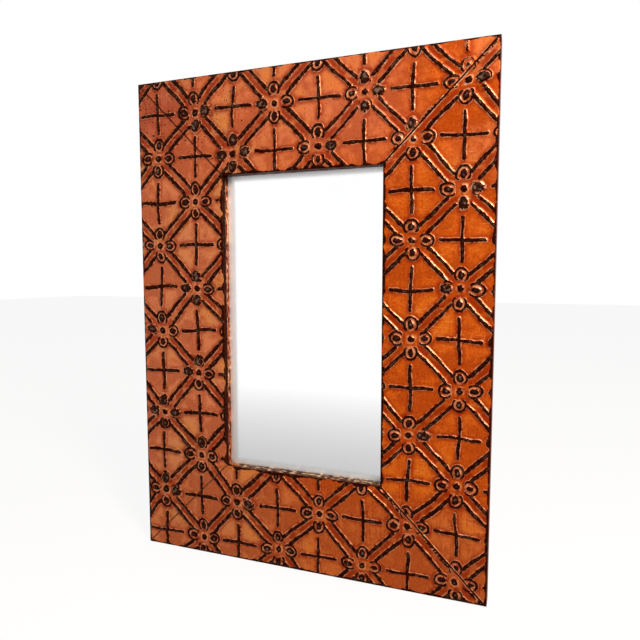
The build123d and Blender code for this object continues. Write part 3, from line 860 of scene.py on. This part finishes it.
def screw_mesh():
    """A pan-head screw: its thread as rings, its head, and a cross that a punch cuts out."""
    work = bmesh.new()
    seat, radius = STRAP, SCREW_HEAD / 2
    tip, crest = STRAP - SCREW_LENGTH, SCREW_SHANK / 2
    profile = [(0.3, tip), (crest - 0.5, tip + 2.2)]
    y, thread = tip + 2.6, 1.3
    while y < -1.5:  # each turn of the thread as a ring
        profile += [(crest - 0.45, y), (crest, y + 0.4 * thread), (crest - 0.45, y + 0.8 * thread)]
        y += thread
    profile += [(crest - 0.3, -0.6), (crest - 0.3, seat), (radius - 0.15, seat)]
    dome = (0.0, 0.35, 0.7, 1.05, 1.35, 1.5)
    profile += [(radius * cos(a), seat + 0.6 + (SCREW_CROWN - 0.6) * sin(a)) for a in dome]
    lathe(work, [(r * MM, y * MM) for r, y in profile], 28)
    head = new_object("screw", mesh_of("screw", work))

    work = bmesh.new()
    for turn in (0, pi / 2):
        made = bmesh.ops.create_cube(work, size=1.0)["verts"]
        for vert in made:
            deep = vert.co.y < 0
            arm = RECESS_ARM * (0.45 if deep else 1.0) + (0.0 if deep else 0.8)
            vert.co = Vector((vert.co.x * arm, 0, vert.co.z * RECESS_WIDTH * (0.7 if deep else 1.0))) * MM
            vert.co.y = (seat + SCREW_CROWN + (-RECESS_DEPTH if deep else 0.6)) * MM
        bmesh.ops.rotate(work, verts=made, cent=(0, 0, 0), matrix=Matrix.Rotation(turn, 3, "Y"))
    punch = new_object("punch", mesh_of("punch", work))
    cut = head.modifiers.new("recess", "BOOLEAN")
    cut.object, cut.operation, cut.solver, cut.use_self = punch, "DIFFERENCE", "EXACT", True
    graph = bpy.context.evaluated_depsgraph_get()
    mesh = bpy.data.meshes.new_from_object(head.evaluated_get(graph))
    for item in (head, punch):
        bpy.data.objects.remove(item)
    print("screw of", len(mesh.polygons), "faces")
    return mesh


# %% [markdown]
# ## Steel finishes
#
# Four plain steels sit at the back. Blued steel is heated until a thin oxide turns it blue-black. Zinc plate is
# pale grey with a faint spangle, and dulls to a soft sheen. Nickel plate is warmer and nearly a mirror. V-nails
# are bright rolled strip. They are all metals, so one function sets them, with a cloud for the plating's
# unevenness and fine scratches from the box they came in.

# %% Steels
def plated(name, colour, shade, roughness, cloud_size, scratch=0.15):
    """A metal finish: colour clouded towards shade, and roughness that varies with the same cloud."""
    material, tree, shader, place = surface(name, Metallic=1.0)
    cloud, grit = clouds(tree, place, cloud_size, 0.35)
    feed(
        tree, shader,
        Base_Color=layered(tree, linear(colour), [(shade, (cloud, 0.38, 0.62))]),
        Roughness=add(tree, RANGE, cloud, 0.3, 0.7, roughness, roughness + 0.14),
        Normal=add(tree, "ShaderNodeBump", Strength=scratch, Distance=0.1 * MM, Height=grit),
    )
    return material


BLUED_STEEL = plated("blued_tack_steel", "33373F", "1F2126", 0.34, 2.5)
ZINC_PLATE = plated("zinc_plated_strip", "B9BCC0", "94989C", 0.3, 3.5, 0.25)
NICKEL_PLATE = plated("nickel_plated_wire", "CFC9BC", "B4AD9E", 0.14, 6.0, 0.08)
BRIGHT_STRIP = plated("bright_rolled_steel", "BDBDBE", "9C9C9E", 0.3, 5.0)
ZINC_SCREW = plated("zinc_plated_screw_steel", "C4C2B8", "A09E92", 0.24, 2.0)
print("5 steels")

# %% Tacks and screws in place
HEM_MARGIN, TACK_SPACING = 24.0, 130.0  # from a corner to the first tack, and about how far to the next
HANGER_INSET, HANGER_DROP = 55.0, 150.0  # from the frame's side and top to the bar of a ring
SCREW_DROP = 23.0  # from the bar down to the screw
TACK_TREE, SCREW_TREE = row_tree(BLUED_STEEL), row_tree(ZINC_SCREW)
TACK_MESH = tack_mesh()
for side, turn in SIDES.items():
    half, _, reach = cad_box[1] if side in ("top", "bottom") else cad_box[1].zyx
    room = 2 * half - 2 * HEM_MARGIN * MM
    gaps = round(room / (TACK_SPACING * MM))
    piece = grown(f"cut_tacks_{side}", TACK_MESH, TACK_TREE, {
        "Count": gaps + 1,
        "Start": (-room / 2, 0.0, reach - HEM / 2 * MM),
        "Step": (room / gaps, 0.0, 0.0),
        "Turn": radians(turn),
        "Spin": 0.6,
    })
    handed_over(closed(piece, 35.0), "frame", "blued_steel", f"hem_tacks_{side}")
screw_x, screw_z = cad_box[1].x - HANGER_INSET * MM, cad_box[1].z - (HANGER_DROP + SCREW_DROP) * MM
piece = grown("pan_head_screws", screw_mesh(), SCREW_TREE, {
    "Count": 2, "Start": (-screw_x, 0.0, screw_z), "Step": (2 * screw_x, 0.0, 0.0), "Turn": 0.0, "Spin": 0.8,
})
handed_over(closed(piece, 35.0), "frame", "zinc_plated_steel", "hanger_screws")

# %% [markdown]
# ## The rings of the hangers
#
# A ring is a D of round wire with its straight bar in the strap's eye. Its line is two small bends, two short
# sides and a half circle, so the points come from those arcs, and a circle is carried along them. All of it
# lies in one plane, so the circle never twists. Each ring rides on its own body, because it swings.

# %% D-rings
RING_BAR, RING_REACH, RING_CORNER, RING_WIRE = 22.0, 15.0, 2.8, 2.6  # millimetres
RING_TILT = 4.0  # degrees that a hanging ring stands off the strap
EYE_PLAY = 0.08
BAR_DEPTH = STRAP + RING_WIRE / 2 + EYE_PLAY


def arc(middle, radius, start, end, steps):
    """Points round an arc in a plane, angles in degrees."""
    turns = [radians(start + (end - start) * i / steps) for i in range(steps + 1)]
    return [Vector((middle[0] + radius * cos(t), 0, middle[1] + radius * sin(t))) for t in turns]


def ring_mesh(sides=20):
    """A D of round wire that hangs from its bar, with the bar's middle at the origin."""
    half = RING_BAR / 2
    line = arc((half - RING_CORNER, -RING_CORNER), RING_CORNER, 90, 0, 8)
    line += arc((0, half - RING_REACH), half, 0, -180, 44)
    line += arc((RING_CORNER - half, -RING_CORNER), RING_CORNER, 180, 90, 8)
    level = Vector((0, 1, 0))
    work = bmesh.new()
    loops = []
    for i, point in enumerate(line):
        ahead = (line[(i + 1) % len(line)] - line[i - 1]).normalized()
        aside = ahead.cross(level)
        turns = [2 * pi * k / sides for k in range(sides)]
        loops.append([
            work.verts.new((point + (aside * cos(t) + level * sin(t)) * RING_WIRE / 2) * MM) for t in turns
        ])
    for i, loop in enumerate(loops):
        for k in range(sides):
            work.faces.new((loops[i - 1][k - 1], loops[i - 1][k], loop[k], loop[k - 1]))
    return mesh_of("hanger_ring", work)


for side, sign in (("left", -1), ("right", 1)):
    mesh = ring_mesh()
    place = Matrix.Translation((sign * screw_x, BAR_DEPTH * MM, cad_box[1].z - HANGER_DROP * MM))
    mesh.transform(place @ Matrix.Rotation(radians(RING_TILT), 4, "X"))
    mesh.materials.append(NICKEL_PLATE)
    piece = closed(new_object(f"d_ring_{side}", mesh))
    handed_over(piece, f"ring_{side}", "nickel_plated_steel", f"hanger_ring_{side}")

# %% [markdown]
# ## The glass
#
# The looking glass is 3 mm float glass with silver and grey paint on its back, and its edges are ground to a
# small arris so that they don't cut. Light passes the clear glass and turns round at the silver, and from the
# front that looks like a bright metal with almost no tint, so the front is set that way. Beside the tin it is
# hazed by what a cloth couldn't reach, which softens the reflection of the crumpled return: at the left, along
# the top and at the bottom. Low down the haze is also painted greyer, a painted reflection of the grey floor.
# The ground edge is frosted green, and the back is matt paint.

# %% Mirror glass
def silvered():
    """The silver seen through the glass, hazed beside the tin."""
    material, tree, shader, place = surface("silvered_float_glass", Metallic=1.0)
    across, _, upward = add(tree, "ShaderNodeSeparateXYZ", place).outputs
    from_side = add(tree, "ADD", across, cad_box[1].x - WIDTH * MM)
    from_level = add(tree, "SUBTRACT", cad_box[1].z - WIDTH * MM, ("ABSOLUTE", upward))
    haze = [mask(tree, (from_side, 14 * MM, 4 * MM)), mask(tree, (from_level, 10 * MM, 3 * MM))]
    haze = add(tree, "MAXIMUM", *haze)
    film = clouds(tree, place, 60)[0]
    # Off-white film, and low down the haze painted greyer: a painted reflection of the floor.
    layers = [("FBFDFC", (film, 0.55, 0.8)), ("E4E9EC", haze, (upward, -0.08, -0.2))]
    base = layered(tree, linear("FFFFFF"), layers)
    feed(tree, shader, Base_Color=base, Roughness=("MULTIPLY_ADD", haze, 0.55, 0.015))
    return material


def coated(name, colour, shade, roughness, size):
    """A matt, faintly clouded surface."""
    material, tree, shader, place = surface(name, Roughness=roughness)
    cloud, grit = clouds(tree, place, size, 0.4)
    base = layered(tree, linear(colour), [(shade, (cloud, 0.35, 0.65))])
    bump = add(tree, "ShaderNodeBump", Strength=0.2, Distance=0.1 * MM, Height=grit)
    feed(tree, shader, Base_Color=base, Normal=bump)
    return material


ARRIS = 0.4  # width of the ground edge


def glass_piece():
    """The plate with its edges ground, and a finish each for its front, edges and back."""
    low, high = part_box("mirror_glass")
    work = bmesh.new()
    made = bmesh.ops.create_cube(work, size=1.0)["verts"]
    bmesh.ops.scale(work, vec=high - low, verts=made)
    bmesh.ops.translate(work, vec=(high + low) / 2, verts=made)
    bmesh.ops.bevel(work, geom=work.edges[:], offset=ARRIS * MM, segments=2, profile=0.5, affect="EDGES")
    for face in work.faces:
        face.material_index = 1 if abs(face.normal.y) < 0.99 else (0 if face.normal.y < 0 else 2)
    mesh = mesh_of("looking_glass", work)
    mesh.materials.append(silvered())
    mesh.materials.append(coated("ground_glass_edge", "8FA89C", "7C978B", 0.5, 8))
    mesh.materials.append(coated("mirror_back_paint", "6E7073", "636568", 0.6, 12))
    return new_object("looking_glass", mesh)


handed_over(closed(glass_piece(), 20.0), "frame", "mirror", "mirror_glass")

# %% [markdown]
# ## Wood, board and the steel that keeps its solids
#
# The rails are planed pine: pale early wood, darker narrow late wood, both drawn out along the rail, so the
# upright rails and the level ones each need the grain turned their own way. Rings cut flat make long arches,
# which a stretched noise, read as a saw-tooth of growth rings, gives. The back is hardboard: wood fibre pressed
# dark and smooth, with a fine felted fleck. Straps, points and nails keep the shapes that they came with.

# %% Pine and hardboard
def planed_pine(name, stretch, shift):
    """Pine with its grain along the axis where stretch is small. Each shift is another place in the log."""
    material, tree, shader, place = surface(name, Roughness=0.55, Specular_IOR_Level=0.35)
    along = add(tree, "ShaderNodeMapping", place, Scale=stretch, Location=(shift, shift * 0.7, shift * 0.4))
    growth = add(tree, NOISE, along, Scale=1 / (38 * MM), Detail=1.5, Distortion=0.4).outputs[0]
    finer = add(tree, "ShaderNodeMapping", along, Scale=tuple(1 if s == 1 else 0.3 for s in stretch))
    fibre = clouds(tree, finer, 0.9)[0]
    ring = add(tree, "FRACT", ("MULTIPLY", growth, 16.0))
    late = mask(tree, (ring, 0.35, 0.9), (ring, 1.0, 0.93))
    tint = clouds(tree, along, 70)[0]
    base = layered(tree, linear("D9B686"), [
        ("A9713C", late, 0.7), ("B98650", (fibre, 0.5, 0.72), 0.35), ("C39460", (tint, 0.45, 0.7), 0.4),
    ])
    relief = ("MULTIPLY_ADD", late, 0.4, fibre)
    bump = add(tree, "ShaderNodeBump", Strength=0.35, Distance=0.15 * MM, Height=relief)
    feed(tree, shader, Base_Color=base, Normal=bump)
    return material


def hardboard():
    """Wood fibre pressed dark, clouded and flecked."""
    material, tree, shader, place = surface("pressed_hardboard", Roughness=0.5, Specular_IOR_Level=0.3)
    cloud, felt, fleck = clouds(tree, place, 90, 2.4, 0.8)
    base = layered(tree, linear("5E3D25"), [
        ("6B472C", (cloud, 0.4, 0.65)), ("49301E", (felt, 0.5, 0.66), 0.5),
        ("86603F", (fleck, 0.62, 0.72), 0.5),
    ])
    bump = add(tree, "ShaderNodeBump", Strength=0.3, Distance=0.1 * MM, Height=fleck)
    feed(tree, shader, Base_Color=base, Normal=bump)
    return material


LEVEL, UPRIGHT = (0.045, 1, 1), (1, 1, 0.045)
KEPT = {
    "backing_board": hardboard(), "v_nails": BRIGHT_STRIP, "glazier_points": ZINC_PLATE,
    "hanger_strap": ZINC_PLATE,
}
for shift, side in enumerate(SIDES):
    stretch = UPRIGHT if side in ("left", "right") else LEVEL
    KEPT[f"wood_rail_{side}"] = planed_pine(f"planed_pine_{side}", stretch, 3.1 * shift)
for name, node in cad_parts.items():
    for start, material in KEPT.items():
        if name.startswith(start):
            for held in node.material_slots:
                held.material = material
            print(name, "is", material.name)

# %% [markdown]
# ## Room, lamps and camera
#
# The mirror stands on a plain pale floor. The room is white, and a mirror shows whatever stands opposite, so
# the floor also has to look right in the glass: white far off, and greyer near the frame, where a real floor
# falls into the mirror's own shade.

# %% Floor
def pale_floor():
    """White as the camera sees it, and in the glass greyer near the frame."""
    material, tree, shader, place = surface("pale_floor", Roughness=0.9, Base_Color=linear("FFFFFF"))
    ray = add(tree, "ShaderNodeLightPath").outputs
    ahead = add(tree, "ShaderNodeSeparateXYZ", place).outputs["Y"]
    shade = add(tree, RANGE, ahead, -0.26, -0.9, 1.0, 0.0)
    seen = layered(tree, linear("FFFFFF"), [("C4C4C4", shade)])
    glow = add(tree, "ShaderNodeEmission", seen, 1.0)
    white = add(tree, "ShaderNodeEmission", linear("FFFFFF"), 1.0)
    in_glass = add(tree, "ShaderNodeMixShader", ray["Is Glossy Ray"], shader, glow)
    lit = add(tree, "MULTIPLY", ray["Is Camera Ray"], 0.88)
    both = add(tree, "ShaderNodeMixShader", lit, in_glass, white)
    feed(tree, tree.nodes["Material Output"], Surface=both)
    return material


FLOOR_HALF = 6.0  # metres
FLOOR_LEVEL = cad_box[0].z - 0.2 * MM
floor_mesh = bpy.data.meshes.new("floor")
corners = [(x * FLOOR_HALF, y * FLOOR_HALF, FLOOR_LEVEL) for x, y in ((-1, -1), (1, -1), (1, 1), (-1, 1))]
floor_mesh.from_pydata(corners, [], [(0, 1, 2, 3)])
floor_mesh.materials.append(pale_floor())
new_object("floor", floor_mesh)
print("floor at", round(FLOOR_LEVEL / MM, 1), "mm")

# %% World and lamps
world = bpy.data.worlds.new("studio")
bpy.context.scene.world = world
world.use_nodes = True
tree = world.node_tree
ray = add(tree, "ShaderNodeLightPath").outputs
direct = ("MAXIMUM", ("MAXIMUM", ray["Is Camera Ray"], ray["Is Glossy Ray"]), ray["Is Transmission Ray"])
strength = add(tree, RANGE, direct, 0.0, 1.0, 0.36, 1.0)
feed(tree, tree.nodes["Background"], Color=linear("FFFFFF"), Strength=strength)


def softbox(name, place, target, width, height, watts):
    """A warm white area lamp, upright, that faces the target."""
    lamp = bpy.data.lights.new(name, "AREA")
    lamp.shape = "RECTANGLE"
    lamp.size, lamp.size_y = width, height
    lamp.energy = watts
    lamp.color = linear("FFF2DE")[:3]
    holder = new_object(name, lamp)
    holder.location = place
    holder.rotation_mode = "QUATERNION"
    holder.rotation_quaternion = (Vector(target) - Vector(place)).to_track_quat("-Z", "Y")
    print(name, "lamp of", watts, "W")


softbox("key", (0.95, -0.85, 0.95), (0.05, 0, 0), 0.3, 0.8, 26)
softbox("sparkle", (0.35, -1.2, 1.0), (0, 0, 0), 0.1, 0.1, 5)

# %% Camera
LENS = 31.05  # on a 36 mm sensor
EYE = Vector((0.2273, -0.5775, 0.0580))
RIGHT = Vector((0.93995, 0.34130, -0.00029))
UP = Vector((-0.02862, 0.07968, 0.99641))
camera = new_object("camera", bpy.data.cameras.new("camera"))
camera.data.lens = LENS
camera.data.clip_start = 0.01
turn = Matrix((RIGHT, UP, RIGHT.cross(UP))).transposed()
camera.matrix_world = Matrix.Translation(EYE) @ turn.to_4x4()
bpy.context.scene.camera = camera
bpy.context.scene.view_settings.view_transform = "Standard"
print("camera", round(EYE.length, 3), "m from the middle of the frame")
